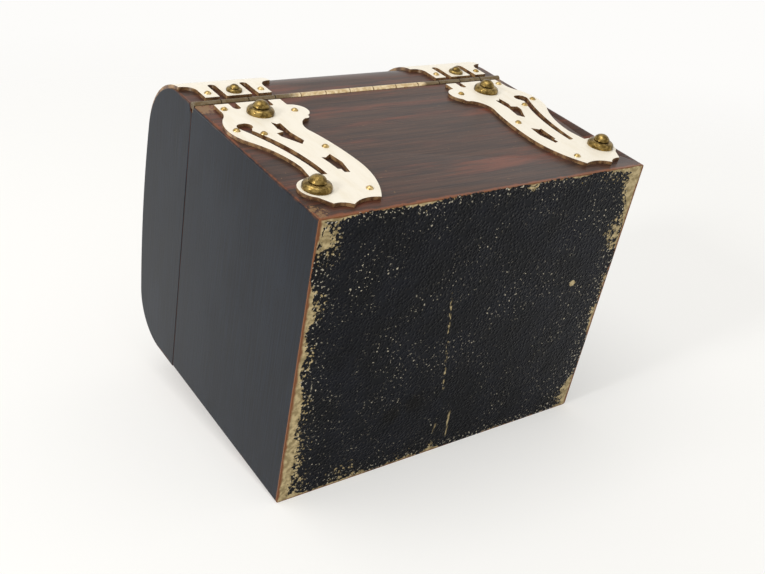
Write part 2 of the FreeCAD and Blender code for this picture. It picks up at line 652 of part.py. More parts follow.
for side, label in ((1, "right_lid_strap"), (-1, "left_lid_strap")):
    strap = body(label)
    start = "body_width / 2 - strap_margin - strap_width" if side > 0 else "strap_margin - body_width / 2"
    pad(strap, sketch(strap, "YZ_Plane", band, dim(start)), dim("strap_width"))
    pocket(strap, sketch(strap, "XZ_Plane", finger_trims(side)), dim("body_depth"))
    pocket(strap, sketch(strap, "XY_Plane", tip_trims(side)), dim("(joint_height + crown_height) * 2"), True)
    edges = []
    for x, z in [place for place in finger_pins + finger_bosses if place[0] * side > 0]:
        edges += circle(x, z, shank[0] + size["running_fit"])
    pocket(strap, sketch(strap, "XZ_Plane", edges), dim("body_depth"))
    edges = []
    for x, y in [place for place in tip_pins if place[0] * side > 0]:
        edges += circle(x, y, shank[0] + size["running_fit"])
    pocket(strap, sketch(strap, "XY_Plane", edges), dim("(joint_height + crown_height) * 2"), True)

# Front plate, a pierced quatrefoil
front_plate = body("front_plate")
CUSP_SHARE = 0.62
PIERCED_SHARE = 0.53
PIERCED_RADIUS = 1.1
reach = size["plate_radius"]


def polar(share, quarter):
    angle = math.radians(90 * quarter)
    return (share * reach * math.sin(angle), knob_z + share * reach * math.cos(angle))


plate_edges = path(polar(CUSP_SHARE, -0.5), *[(polar(1, k), polar(CUSP_SHARE, k + 0.5)) for k in range(4)])
for k in range(4):
    plate_edges += circle(*polar(PIERCED_SHARE, k + 0.5), PIERCED_RADIUS)
plate_edges += circle(0, knob_z, size["spindle_radius"] + size["running_fit"])
for x, z in plate_pins:
    plate_edges += circle(x, z, shank[0] + size["running_fit"])
pad(front_plate, sketch(front_plate, "XZ_Plane", plate_edges, dim("body_depth / 2")), dim("strap_thick"))

# Turning boss on its spindle, and the crank disc on the spindle's end
knob_seat = -strap_face - size["catch_play"]
spindle_length = disc_back - knob_seat
turning_boss = node(turned("turning_boss", stepped_boss(
    size["knob_radius"], size["knob_height"], size["spindle_radius"], spindle_length)), "turning_boss")
turning_boss.Placement = FreeCAD.Placement(V(0, knob_seat, knob_z), FreeCAD.Rotation(V(0, 0, 1), V(0, -1, 0)))
crank = body("crank_disc")
PRESS_FIT_SHARE = 0.2
crank_edges = circle(0, knob_z, size["crank_radius"])
crank_edges += circle(0, knob_z, size["spindle_radius"] + size["running_fit"] * PRESS_FIT_SHARE)
DISC_BACK = "body_depth / 2 - wall + cap_thick + catch_play * 3 + bolt_thick"
pad(crank, sketch(crank, "XZ_Plane", crank_edges, dim(DISC_BACK)), dim("disc_thick"))
crank_pin = sketch(crank, "XZ_Plane", circle(-swing, knob_z + swing, size["crank_pin_radius"]), dim(DISC_BACK))
pad(crank, crank_pin, dim("bolt_thick + catch_play * 2"), reverse=True)

# Bolt with its yoke and guide slots
bolt = body("catch_bolt")
tip_x, nose_low, nose_high = NOSE
low_x, low_z, high_x, high_z = BOLT
bolt_edges = path((low_x, knob_z + low_z), (high_x, knob_z + low_z), (high_x, knob_z + nose_low),
                  (tip_x, knob_z + nose_low), (tip_x, knob_z + nose_high), (high_x, knob_z + nose_high),
                  (high_x, knob_z + high_z), (low_x, knob_z + high_z))
yoke = size["crank_pin_radius"] + size["yoke_play"]
yoke_low = knob_z + swing
yoke_high = knob_z + size["crank_throw"]
bolt_edges += path((-swing - yoke, yoke_low), ((-swing, yoke_low - yoke), (-swing + yoke, yoke_low)),
                   (-swing + yoke, yoke_high), ((-swing, yoke_high + yoke), (-swing - yoke, yoke_high)))
guide = size["stud_radius"] + size["running_fit"] * 2
for x, z in STUDS:
    level = knob_z + z
    bolt_edges += path((x - stroke, level - guide), (x, level - guide), ((x + guide, level), (x, level + guide)),
                       (x - stroke, level + guide), ((x - stroke - guide, level), (x - stroke, level - guide)))
BOLT_BACK = "body_depth / 2 - wall + cap_thick + catch_play * 2"
pad(bolt, sketch(bolt, "XZ_Plane", bolt_edges, dim(BOLT_BACK)), dim("bolt_thick"))

# Cap plate with the bolt's guide studs
cap = body("catch_cap")
fit = size["running_fit"]
cap_edges = rectangle(CAP[0] + fit, cap_low + fit, CAP[2] - fit, cap_high - fit)
for x, z in cap_screws:
    cap_edges += circle(x, z, SCREW_HEAD_RADIUS + fit)
pad(cap, sketch(cap, "XZ_Plane", cap_edges, dim(FRONT_INSIDE)), dim("cap_thick"))
STUD_SHOULDER_SHARE = 1.8
CAP_FRONT = dim("body_depth / 2 - wall + cap_thick")
for radius, length in ((size["stud_radius"] * STUD_SHOULDER_SHARE, "catch_play"),
                       (size["stud_radius"], "catch_play * 2 + bolt_thick")):
    stud_edges = []
    for x, z in STUDS:
        stud_edges += circle(x, knob_z + z, radius)
    pad(cap, sketch(cap, "XZ_Plane", stud_edges, CAP_FRONT), dim(length))

# Hooked strike in the lid's front rim
strike = body("strike_plate")
strike_edges = rectangle(STRIKE_REACH[0] + fit, strike_low + fit, STRIKE_REACH[1] - fit, strike_high - fit)
for x, y in strike_screws:
    strike_edges += circle(x, y, SCREW_HEAD_RADIUS + fit)
pad(strike, sketch(strike, "XY_Plane", strike_edges, LID_RIM), dim("strike_thick"))
foot_tip, foot_low, foot_high = HOOK_FOOT
shank_near, shank_far = HOOK_SHANK
hook_top = lid_rim + size["strike_thick"]
hook_edges = path((shank_near, hook_top), (shank_far, hook_top), (shank_far, knob_z + foot_low),
                  (foot_tip, knob_z + foot_low), (foot_tip, knob_z + foot_high), (shank_near, knob_z + foot_high))
pad(strike, sketch(strike, "XZ_Plane", hook_edges, dim(BOLT_BACK)), dim("hook_thick"))

# Every object is tested before anything is written
doc.recompute()
for item in doc.Objects:
    if "Invalid" in item.State or "Error" in item.State:
        raise RuntimeError("failed: " + item.Label)
for item in nodes:
    if item.Shape.isNull() or not item.Shape.isValid():
        raise RuntimeError("bad shape: " + item.Label)
os.makedirs("parts", exist_ok=True)
for item in nodes:
    item.Shape.exportStep("parts/%s.step" % item.Label)
print(len(nodes), "nodes, bolt stroke", round(stroke, 4))
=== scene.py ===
"""Looks of the dome-lidded casket: woods, grained paper, bone, brass, and the white table it lies on."""
import bmesh
import bpy
import functools
import math
from mathutils import Matrix, Vector


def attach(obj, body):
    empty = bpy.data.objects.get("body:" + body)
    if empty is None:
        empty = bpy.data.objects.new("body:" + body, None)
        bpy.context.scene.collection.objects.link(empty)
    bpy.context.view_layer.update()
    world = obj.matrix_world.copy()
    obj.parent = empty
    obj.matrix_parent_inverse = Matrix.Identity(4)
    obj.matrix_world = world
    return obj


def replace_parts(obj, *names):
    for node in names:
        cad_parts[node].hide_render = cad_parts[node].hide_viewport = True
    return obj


bl_info = {
    "name": "Casket looks",
    "version": (1, 0, 0),
    "blender": (4, 2, 0),
    "location": "View3D > Sidebar > Casket",
    "description": "Materials and stage for the dome-lidded casket",
    "category": "Object",
}

MM = 0.001
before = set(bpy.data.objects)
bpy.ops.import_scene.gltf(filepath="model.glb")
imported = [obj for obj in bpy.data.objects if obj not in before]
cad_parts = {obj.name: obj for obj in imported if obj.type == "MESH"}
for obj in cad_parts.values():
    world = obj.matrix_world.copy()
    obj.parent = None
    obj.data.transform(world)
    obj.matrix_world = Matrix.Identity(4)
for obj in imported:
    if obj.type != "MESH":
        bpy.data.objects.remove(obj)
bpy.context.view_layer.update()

# The CAD nodes by what they are made of
WALL_VENEER = ("back_panel", "front_panel")
VENEER = WALL_VENEER + ("lid_back_rail", "lid_front_rail", "lid_crown")
ENDS = ("right_end", "left_end")
LID_ENDS = ("lid_right_end", "lid_left_end")
FLAT_BONE = ("right_back_strap", "left_back_strap", "front_plate")
BENT_BONE = ("right_lid_strap", "left_lid_strap")
TURNED_BRASS = ("back_bosses", "lid_bosses", "turning_boss")
PINS = ("back_pins", "front_pins", "lid_pins")
HINGE_BRASS = ("hinge_lower_leaf", "hinge_upper_leaf", "hinge_pin")
CATCH_BRASS = ("crank_disc", "catch_bolt", "catch_cap", "strike_plate")
SCREWS = ("hinge_lower_screws", "hinge_upper_screws", "cap_screws", "strike_screws")
WALL_LININGS = ("front_lining", "back_lining", "right_lining", "left_lining")
LININGS = WALL_LININGS + ("base_lining", "lid_lining")


def span(name, axis):
    """Lowest and highest coordinate of a CAD node along an axis, in millimetres."""
    values = [vertex.co[axis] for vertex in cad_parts[name].data.vertices]
    return round(min(values) / MM, 3), round(max(values) / MM, 3)


# Sizes of the body, from its end board and the card that lines it
HALF_WIDTH = span("right_end", 0)[1]
HALF_DEPTH = span("right_end", 1)[1]
RIM = span("right_end", 2)[1]
LID_RIM = span("lid_right_end", 2)[0]
INNER_WIDTH = span("right_lining", 0)[1]
INNER_DEPTH = span("back_lining", 1)[1]

# Sizes of the pieces that close the joint, in millimetres
LINING_RISE = 1.5
LINING_PLAY = 0.12
LINING_ROUND = 0.25
BEAD_WIDTH = 6
BEAD_LENGTH = 90
BEAD_SET = 0.7
BEAD_PLAY = 0.1
BEAD_ROUND = 0.1

# Rounding: the cuts of a rubbed corner in degrees, the depth that counts as an end's own face in
# millimetres, and the angles from which an edge is filed round or shaded sharp
CORNER_CUTS = (15, 30, 45, 60, 75)
END_FACE = 0.1
FILED_ANGLE = math.radians(40)
SHADED_ANGLE = math.radians(32)
FLAT_ANGLE = math.radians(0.5)
SAME_POINT = 0.002

# Pattern sizes in millimetres along X, Y and Z
STREAK = (40, 2.0, 2.0)
RED_STREAK = (62, 7, 7)
PORE = (14, 0.5, 0.5)
EBONY_LINE = (0.7, 22, 0.7)
EBONY_CLOUD = (18, 40, 18)
EBONY_PIT = (0.7, 1.3, 0.7)
GROWTH_LINE = (60, 3, 3)
RUB = (5, 5, 5)
CHIP_FLAKE = (1.1, 1.1, 1.1)
PEBBLE = (1.15, 1.15, 1.15)
PAPER_CLOUD = (16, 16, 16)
PAPER_SHINE = (9, 9, 9)
PAPER_FLAKE = (1.7, 1.7, 1.7)
PAPER_GRIT = (1, 1, 1)
GRIT_BUNCH = (20, 20, 20)
EDGE_REACH = (24, 24, 24)
BARE_CLOUD = (2, 2, 2)
BONE_CLOUD = (3, 3, 14)
BONE_MARK = (0.35, 0.35, 1.6)
BONE_EDGE_MOTTLE = (2.5, 2.5, 2.5)
PATINA = (1.6, 1.6, 1.6)
BRASS_GRAIN = (0.5, 0.5, 0.5)
TARNISH_AND_SHADE_WANDER = (4, 4, 4)
CLOTH_FADE = (12, 12, 12)
SCRATCH_BREAK = 0.9
# Threads are drawn a millimetre apart, coarser than real ones, so that they show
THREAD = 0.98
# A band pattern turns through this many radians in each unit of its coordinates
BAND_TURN = 20

# Heights that the light shows as relief, in millimetres
VENEER_RELIEF = 0.05
EBONY_RELIEF = 0.04
PEBBLE_RELIEF = 0.4
BONE_RELIEF = 0.05
BRASS_RELIEF = 0.015
CLOTH_RELIEF = 0.08

# Wear in millimetres: how far in an arris of wood and the paper's rim are rubbed and the band along the
# paper's edges that has more specks. Where the hinge is darkened with tarnish and painted shade: how far from
# the middle the straps begin to shelter it, and how far in from the back it still shows and is wholly hidden
RUB_DEPTH = 3.2
RIM_RUB = 2.2
GRIT_BAND = (13, 1)
SHELTERED = (29, 33)
HINGE_SHOWS = 0.5
HINGE_HIDES = 1.5
# The paper's long edges count as this many times further off, because they wear less
LONG_EDGE_SHARE = 2.2

# Gloss: the waxed veneer is smoother than the satin ends, and the paper shines least
POLISHED = 0.34
SATIN = 0.42
BOARD_SHEEN = 0.2
PAPER_SHEEN = 0.1

# Chipped places of the back's veneer, as x and z in millimetres, with their radius and strength
CHIPS = (((64, 75), 7, 0.3), ((64, 4), 6, 0.2), ((57, 77), 5, 0.22), ((-64, 76), 5, 0.2))
# Patches of the base paper rubbed bare, as x and y in millimetres, with their radius and strength
BARE_PATCHES = (((64, 50), 12, 0.34), ((60, 40), 9, 0.22), ((-64, 47), 14, 0.34), ((-64, 26), 14, 0.34),
                ((-64, -46), 11, 0.3), ((-65, -12), 10, 0.2), ((63, -47), 16, 0.28), ((65, 22), 12, 0.3),
                ((65, 4), 12, 0.28), ((65, -12), 13, 0.3), ((65, -30), 16, 0.3), ((-47, 8), 2.0, 0.6),
                ((40, -49), 14, 0.24), ((16, -50), 9, 0.2), ((2, -50), 6, 0.24), ((-14, 51), 4, 0.34),
                ((-36, 50), 7, 0.18), ((30, 51), 9, 0.16), ((-50, 51), 8, 0.2))
# Dark blots of the paper with their radius
BLOTS = (((24, -29), 5.0), ((15, -26.5), 5.0))
# Scratches of the paper along Y: x at the middle, lean, first and last y, width, length of a dash
SCRATCHES = ((-3.0, 0.0, -47, -36, 1.0, 7.0), (3.4, 0.02, -49, -40, 0.9, 6.0),
             (7.1, 0.166, -24, 16, 0.6, 2.0))

# The box lies on the lower edge of its front and on the turning boss's tip
FLOOR_EDGE = Vector((0, -52.05, 0)) * MM
FLOOR_TIP = Vector((0, -61.6, 60)) * MM
# Half the floor's width, where it fades into the white room, and how much its shadows are lifted
FLOOR_REACH = 1.5
FLOOR_FADE = (0.25, 0.8)
FLOOR_LIFT = 0.4
EYE = Vector((204.5, 179.4, -194.1)) * MM
SIGHT = Vector((-0.5557, -0.5177, 0.6505))
ROLL = math.radians(-11.2517)
LENS = 47.504
NEAREST = 0.01
# Lamps: name, place and width in metres, power in watts
LAMPS = (("key", (0.45, 1.45, 0.25), 1.1, 8.8), ("fill", (1.35, 0.75, -0.05), 0.25, 7.5),
         ("front", (0.2, -1.5, 0.5), 1.4, 9.0))
AIM = Vector((0, 0, 0.05))
AMBIENT = 0.65

# Colours that more than one place has
RUBBED_EBONY = "4f3222"
CARD_WHITE = "fbfaf7"

# Settings that many nodes share
SMOOTH = {"interpolation_type": "SMOOTHSTEP"}
TINT = {"data_type": "RGBA"}


def srgb(text):
    """Linear RGBA from a hex colour as it reads on a screen."""
    parts = [int(text[k:k + 2], 16) / 255 for k in (0, 2, 4)]
    return [c / 12.92 if c <= 0.04045 else ((c + 0.055) / 1.055) ** 2.4 for c in parts] + [1.0]


def add_node(tree, kind, *sockets, **settings):
    """Adds a node and gives its outputs: sockets fill its inputs in order, or by key from a dictionary."""
    made = tree.nodes.new("ShaderNode" + kind)
    for name, value in settings.items():
        setattr(made, name, value)
    keyed = sockets[0] if sockets and isinstance(sockets[0], dict) else dict(enumerate(sockets))
    for key, value in keyed.items():
        if isinstance(value, bpy.types.NodeSocket):
            tree.links.new(value, made.inputs[key])
        else:
            made.inputs[key].default_value = value
    return made.outputs


def finished(name, build):
    """A material whose shader is what build makes with the node-adding function it is given."""
    made = bpy.data.materials.new(name)
    made.use_nodes = True
    made.node_tree.nodes.clear()
    put = functools.partial(add_node, made.node_tree)
    put("OutputMaterial", {"Surface": build(put)})
    return made


# Patterns and masks that the materials share
def counted(put, lengths):
    """Object coordinates counted in cells of the given millimetres."""
    place = put("TexCoord")["Object"]
    return put("Mapping", {"Vector": place, "Scale": [1 / (length * MM) for length in lengths]})[0]


def mottle(put, lengths, detail=3.0, rough=0.55):
    """Irregular light and dark whose patches have the given lengths."""
    return put("TexNoise", {"Vector": counted(put, lengths), "Scale": 1.0, "Detail": detail,
                            "Roughness": rough})[0]


def places(put):
    """A point's x, y and z in millimetres."""
    return put("SeparateXYZ", counted(put, (1, 1, 1)))[:3]


def off_middle(put):
    """A point's distance from the middle along X and along Y, and its height, in millimetres."""
    x, y, z = places(put)
    return put("Math", x, operation="ABSOLUTE")[0], put("Math", y, operation="ABSOLUTE")[0], z


def facing(put):
    """How far a face looks along X, along Y and up. The normal is the object's own, so a turned lid keeps its
    masks."""
    x, y, z = put("SeparateXYZ", put("TexCoord")["Normal"])[:3]
    return put("Math", x, operation="ABSOLUTE")[0], put("Math", y, operation="ABSOLUTE")[0], z


def arris(put, *gaps):
    """1 on a worn arris: gaps are distances in millimetres to the arrises."""
    nearest = gaps[0]
    for gap in gaps[1:]:
        nearest = put("Math", nearest, gap, operation="MINIMUM")[0]
    rub = put("Math", mottle(put, RUB, 5.0, 0.7), -RUB_DEPTH, operation="MULTIPLY")[0]
    return put("MapRange", put("Math", nearest, rub, operation="ADD")[0], -0.75, -1.75, **SMOOTH)[0]


def spot(put, across, along, at, radius):
    """1 in the middle of a round patch, 0 from its radius outwards."""
    aside = put("Math", put("Math", across, at[0], operation="SUBTRACT")[0], 2.0, operation="POWER")[0]
    ahead = put("Math", put("Math", along, at[1], operation="SUBTRACT")[0], 2.0, operation="POWER")[0]
    away = put("Math", put("Math", aside, ahead, operation="ADD")[0], operation="SQRT")[0]
    return put("MapRange", away, radius, radius * 0.3, **SMOOTH)[0]


# Woods
def veneer_colour(put, look):
    """Sliced veneer: long streaks along X, some of them reddish, and short open pores."""
    streak = put("MapRange", mottle(put, STREAK, 6.0, 0.68), 0.3, 0.7, **SMOOTH)[0]
    red = put("MapRange", mottle(put, RED_STREAK, 6.0, 0.68), 0.46, 0.72, **SMOOTH)[0]
    fine = mottle(put, PORE, 3.0, 0.6)
    pores = put("MapRange", fine, 0.52, 0.3, **SMOOTH)[0]
    body = put("Mix", {0: streak, 6: srgb("261a16"), 7: look.veneer}, **TINT)[2]
    body = put("Mix", {0: red, 6: body, 7: look.streak}, **TINT)[2]
    pores = put("Math", pores, 0.45, operation="MULTIPLY")[0]
    return put("Mix", {0: pores, 6: body, 7: srgb("1d1512")}, **TINT)[2], fine


def ebony_colour(put, look):
    """Stained close-grained wood: fine lines along Y and tiny dark pits."""
    fine = mottle(put, EBONY_LINE, 4.0, 0.65)
    lines = put("MapRange", fine, 0.35, 0.68, **SMOOTH)[0]
    cloud = put("MapRange", mottle(put, EBONY_CLOUD), 0.45, 0.7, **SMOOTH)[0]
    cloud = put("Math", cloud, 0.3, operation="MULTIPLY")[0]
    pits = put("MapRange", mottle(put, EBONY_PIT, 1.0), 0.34, 0.27, **SMOOTH)[0]
    body = put("Mix", {0: lines, 6: srgb("0e1218"), 7: look.ebony}, **TINT)[2]
    body = put("Mix", {0: cloud, 6: body, 7: srgb("222831")}, **TINT)[2]
    return put("Mix", {0: pits, 6: body, 7: srgb("0c0d0f")}, **TINT)[2], fine


def veneer(look):
    """The satin polish of an old veneered back: streaky brown with a soft sheen, arrises rubbed red-brown,
    and a few chips down to the tan wood below."""
    def build(put):
        body, fine = veneer_colour(put, look)
        wide, deep, height = off_middle(put)
        to_end = put("Math", HALF_WIDTH, wide, operation="SUBTRACT")[0]
        to_base = put("Math", height, 0.7, operation="SUBTRACT")[0]
        body = put("Mix", {0: arris(put, to_end, to_base), 6: body, 7: srgb("77442a")}, **TINT)[2]
        flake = mottle(put, CHIP_FLAKE, 5.0, 0.7)
        x, y, z = places(put)
        at_back = put("MapRange", y, INNER_DEPTH, HALF_DEPTH, **SMOOTH)[0]
        for at, radius, strength in CHIPS:
            chip = put("Math", spot(put, x, z, at, radius), strength, operation="MULTIPLY")[0]
            chip = put("Math", chip, at_back, operation="MULTIPLY")[0]
            chip = put("Math", flake, chip, operation="ADD")[0]
            bare = put("MapRange", chip, 0.66, 0.72, **SMOOTH)[0]
            body = put("Mix", {0: bare, 6: body, 7: srgb("7d5f40")}, **TINT)[2]
        relief = put("Bump", {"Height": fine, "Distance": VENEER_RELIEF * MM})[0]
        return put("BsdfPrincipled", {"Base Color": body, "Roughness": POLISHED,
                                      "Specular IOR Level": BOARD_SHEEN, "Normal": relief})[0]
    return finished("Veneer, sliced and wax polished", build)


def ebonised(look):
    """A stained, satin end board: near black, blue-grey where the light lies along it."""
    def build(put):
        body, fine = ebony_colour(put, look)
        wide, deep, height = off_middle(put)
        to_side = put("Math", HALF_DEPTH, deep, operation="SUBTRACT")[0]
        to_base = put("Math", height, operation="ABSOLUTE")[0]
        body = put("Mix", {0: arris(put, to_side, to_base), 6: body, 7: srgb(RUBBED_EBONY)}, **TINT)[2]
        relief = put("Bump", {"Height": fine, "Distance": EBONY_RELIEF * MM})[0]
        return put("BsdfPrincipled", {"Base Color": body, "Roughness": SATIN,
                                      "Specular IOR Level": BOARD_SHEEN, "Normal": relief})[0]
    return finished("Wood, ebonised and rubbed", build)


def lid_end(look):
    """A lid end is ebonised on its flat face and veneered round its edge, with a rubbed arris between."""
    def build(put):
        dark, fine = ebony_colour(put, look)
        brown, pores = veneer_colour(put, look)
        wide, deep, height = off_middle(put)
        flat_face = put("MapRange", facing(put)[0], 0.4, 0.8, **SMOOTH)[0]
        to_side = put("Math", HALF_DEPTH, deep, operation="SUBTRACT")[0]
        to_end = put("Math", HALF_WIDTH, wide, operation="SUBTRACT")[0]
        dark = put("Mix", {0: arris(put, to_side), 6: dark, 7: srgb(RUBBED_EBONY)}, **TINT)[2]
        brown = put("Mix", {0: arris(put, to_end), 6: brown, 7: srgb("6a3a22")}, **TINT)[2]
        rough = put("MapRange", {0: flat_face, 3: POLISHED, 4: SATIN})[0]
        grain = put("Mix", {0: flat_face, 6: pores, 7: fine}, **TINT)[2]
        relief = put("Bump", {"Height": grain, "Distance": VENEER_RELIEF * MM})[0]
        body = put("Mix", {0: flat_face, 6: brown, 7: dark}, **TINT)[2]
        return put("BsdfPrincipled", {"Base Color": body, "Roughness": rough,
                                      "Specular IOR Level": BOARD_SHEEN, "Normal": relief})[0]
    return finished("Wood, ebonised with a veneered edge", build)


def plain_wood():
    """Bare carcase wood, dry and matt, with soft growth lines along X."""
    def build(put):
        line = mottle(put, GROWTH_LINE, 4.0, 0.6)
        light = put("MapRange", line, 0.35, 0.7, **SMOOTH)[0]
        body = put("Mix", {0: light, 6: srgb("8a6744"), 7: srgb("b08d62")}, **TINT)[2]
        relief = put("Bump", {"Height": line, "Distance": VENEER_RELIEF * MM})[0]
        return put("BsdfPrincipled", {"Base Color": body, "Roughness": 0.7, "Normal": relief})[0]
    return finished("Wood, planed and bare", build)


# Paper and cloth
def scratch(put, x, y, at, lean, low, high, width, dash):
    """A broken scratch that runs along Y from low to high, crossing y = 0 at x = at."""
    line = put("Math", put("Math", y, lean, operation="MULTIPLY")[0], at, operation="ADD")[0]
    aside = put("Math", put("Math", x, line, operation="SUBTRACT")[0], operation="ABSOLUTE")[0]
    near = put("MapRange", aside, width, width * 0.4, **SMOOTH)[0]
    begun = put("MapRange", y, low - 1, low + 1, **SMOOTH)[0]
    going = put("MapRange", y, high + 1, high - 1, **SMOOTH)[0]
    broken = put("MapRange", mottle(put, (SCRATCH_BREAK, dash, SCRATCH_BREAK)), 0.52, 0.58, **SMOOTH)[0]
    for mask in (begun, going, broken):
        near = put("Math", near, mask, operation="MULTIPLY")[0]
    return near


def edge_gap(put):
    """The distance to the paper's nearest edge in millimetres, with the long edges counted further off."""
    wide, deep, height = off_middle(put)
    to_end = put("Math", HALF_WIDTH, wide, operation="SUBTRACT")[0]
    to_side = put("Math", HALF_DEPTH, deep, operation="SUBTRACT")[0]
    to_side = put("Math", to_side, LONG_EDGE_SHARE, operation="MULTIPLY")[0]
    return put("Math", to_end, to_side, operation="MINIMUM")[0]


def rubbed_bare(put, x, y, edge, pebble):
    """1 where the black is gone: flakes along the edges, on pebble tops and in patches, and scratches."""
    reach = put("MapRange", mottle(put, EDGE_REACH, 2.0), 0.38, 0.7, 0.45, 5.5)[0]
    inward = put("Math", put("Math", edge, reach, operation="DIVIDE")[0], 1.35, operation="MINIMUM")[0]
    outward = put("Math", 1.0, inward, operation="SUBTRACT")[0]
    rubbed = put("Math", pebble, 0.16, operation="MULTIPLY")[0]
    rubbed = put("Math", mottle(put, PAPER_FLAKE, 6.0, 0.72), rubbed, operation="ADD")[0]
    rubbed = put("Math", rubbed, 0.09, operation="SUBTRACT")[0]
    outward = put("Math", outward, 0.3, operation="MULTIPLY")[0]
    rubbed = put("Math", rubbed, outward, operation="ADD")[0]
    for at, radius, strength in BARE_PATCHES:
        patch = put("Math", spot(put, x, y, at, radius), strength, operation="MULTIPLY")[0]
        rubbed = put("Math", rubbed, patch, operation="ADD")[0]
    bare = put("MapRange", rubbed, 0.655, 0.69, **SMOOTH)[0]
    for mark in SCRATCHES:
        bare = put("Math", bare, scratch(put, x, y, *mark), operation="MAXIMUM")[0]
    return bare


def specks(put, edge):
    """1 on a pale speck: bunches all over, and more of them close to the edges."""
    close = put("MapRange", edge, *GRIT_BAND, **SMOOTH)[0]
    more = put("Math", close, 0.04, operation="MULTIPLY")[0]
    grit = put("Math", mottle(put, PAPER_GRIT, 2.0), more, operation="ADD")[0]
    grit = put("MapRange", grit, 0.655, 0.685, **SMOOTH)[0]
    bunch = put("MapRange", mottle(put, GRIT_BUNCH, 3.0, 0.6), 0.42, 0.62, **SMOOTH)[0]
    bunch = put("Math", bunch, close, operation="MAXIMUM")[0]
    return put("Math", grit, bunch, operation="MULTIPLY")[0]


def paper(look):
    """Embossed black paper: shiny pebbles, pale specks where they are rubbed through, flaked cream edges."""
    def build(put):
        x, y, z = places(put)
        edge = edge_gap(put)
        cell = put("TexVoronoi", {"Vector": counted(put, PEBBLE), "Scale": 1.0})["Distance"]
        pebble = put("MapRange", cell, 0.62, 0.1, **SMOOTH)[0]
        bare = rubbed_bare(put, x, y, edge, pebble)
        cloud = put("MapRange", mottle(put, PAPER_CLOUD), 0.35, 0.7, **SMOOTH)[0]
        black = put("Mix", {0: cloud, 6: srgb("05070c"), 7: look.paper}, **TINT)[2]
        black = put("Mix", {0: specks(put, edge), 6: black, 7: srgb("cfc6b0")}, **TINT)[2]
        for at, radius in BLOTS:
            black = put("Mix", {0: spot(put, x, y, at, radius), 6: black, 7: srgb("010102")}, **TINT)[2]
        cloud = put("MapRange", mottle(put, BARE_CLOUD, 4.0), 0.38, 0.62, **SMOOTH)[0]
        cream = put("Mix", {0: cloud, 6: srgb("93825c"), 7: look.worn_paper}, **TINT)[2]
        rim = put("Math", mottle(put, RUB, 4.0, 0.6), -RIM_RUB, operation="MULTIPLY")[0]
        rim = put("MapRange", put("Math", edge, rim, operation="ADD")[0], 0.2, -0.8, **SMOOTH)[0]
        cream = put("Mix", {0: rim, 6: cream, 7: look.rubbed}, **TINT)[2]
        shine = put("MapRange", mottle(put, PAPER_SHINE), 0.3, 0.7, 0.32, 0.45)[0]
        whole = put("Math", 1.0, bare, operation="SUBTRACT")[0]
        raised = put("Math", pebble, whole, operation="MULTIPLY")[0]
        relief = put("Bump", {"Height": raised, "Distance": PEBBLE_RELIEF * MM})[0]
        body = put("Mix", {0: bare, 6: black, 7: cream}, **TINT)[2]
        return put("BsdfPrincipled", {"Base Color": body, "Roughness": shine,
                                      "Specular IOR Level": PAPER_SHEEN, "Normal": relief})[0]
    return finished("Paper, embossed and blackened", build)


def cloth(look):
    """Woven lining glued over card: threads both ways that break the light, and no shine."""
    def build(put):
        place = counted(put, (1, 1, 1))
        bands = {"Vector": place, "Scale": math.tau / (BAND_TURN * THREAD), "Distortion": 0.6}
        threads = [put("TexWave", bands, bands_direction=axis)[1] for axis in "XYZ"]
        weave = put("Math", threads[0], threads[1], operation="ADD")[0]
        weave = put("Math", weave, threads[2], operation="MULTIPLY")[0]
        fade = put("MapRange", mottle(put, CLOTH_FADE), 0.3, 0.7, **SMOOTH)[0]
        body = put("Mix", {0: fade, 6: look.lining, 7: srgb("5d2733")}, **TINT)[2]
        light = put("Math", weave, 0.4, operation="MULTIPLY")[0]
        body = put("Mix", {0: light, 6: body, 7: srgb("8c4a55")}, **TINT)[2]
        relief = put("Bump", {"Height": weave, "Distance": CLOTH_RELIEF * MM})[0]
        return put("BsdfPrincipled", {"Base Color": body, "Roughness": 0.9, "Normal": relief})[0]
    return finished("Cloth, woven lining on card", build)


# Bone and brass
def bone(look, bent):
    """Polished bone: warm white outside, brown on the sawn edge faces, which stands partly for dirt in the
    open edge and partly for painted shade on those faces.
    """
    def build(put):
        x, y, z = facing(put)
        # Painted shade and dirt: the edge faces, and on the bent straps the faces turned down, are painted
        # brown
        if bent:
            under = put("Math", z, -1.0, operation="MULTIPLY")[0]
            cut = put("MapRange", put("Math", x, under, operation="MAXIMUM")[0], 0.45, 0.85, **SMOOTH)[0]
        else:
            cut = put("MapRange", y, 0.8, 0.45, **SMOOTH)[0]
        cloud = mottle(put, BONE_CLOUD, 4.0, 0.6)
        pale = put("MapRange", cloud, 0.45, 0.75, **SMOOTH)[0]
        face = put("Mix", {0: pale, 6: look.bone, 7: srgb("e9dfca")}, **TINT)[2]
        marks = put("MapRange", mottle(put, BONE_MARK, 2.0), 0.3, 0.22, **SMOOTH)[0]
        marks = put("Math", marks, 0.5, operation="MULTIPLY")[0]
        face = put("Mix", {0: marks, 6: face, 7: srgb("b9a27f")}, **TINT)[2]
        dirt = put("MapRange", mottle(put, BONE_EDGE_MOTTLE), 0.35, 0.7, **SMOOTH)[0]
        edge_stain_and_shade = put("Mix", {0: dirt, 6: look.sawn_bone_and_shade, 7: srgb("a8845a")}, **TINT)[2]
        body = put("Mix", {0: cut, 6: face, 7: edge_stain_and_shade}, **TINT)[2]
        relief = put("Bump", {"Height": cloud, "Distance": BONE_RELIEF * MM})[0]
        return put("BsdfPrincipled", {"Base Color": body, "Roughness": 0.36, "Normal": relief})[0]
    return finished("Bone, bent and polished" if bent else "Bone, sawn and polished", build)


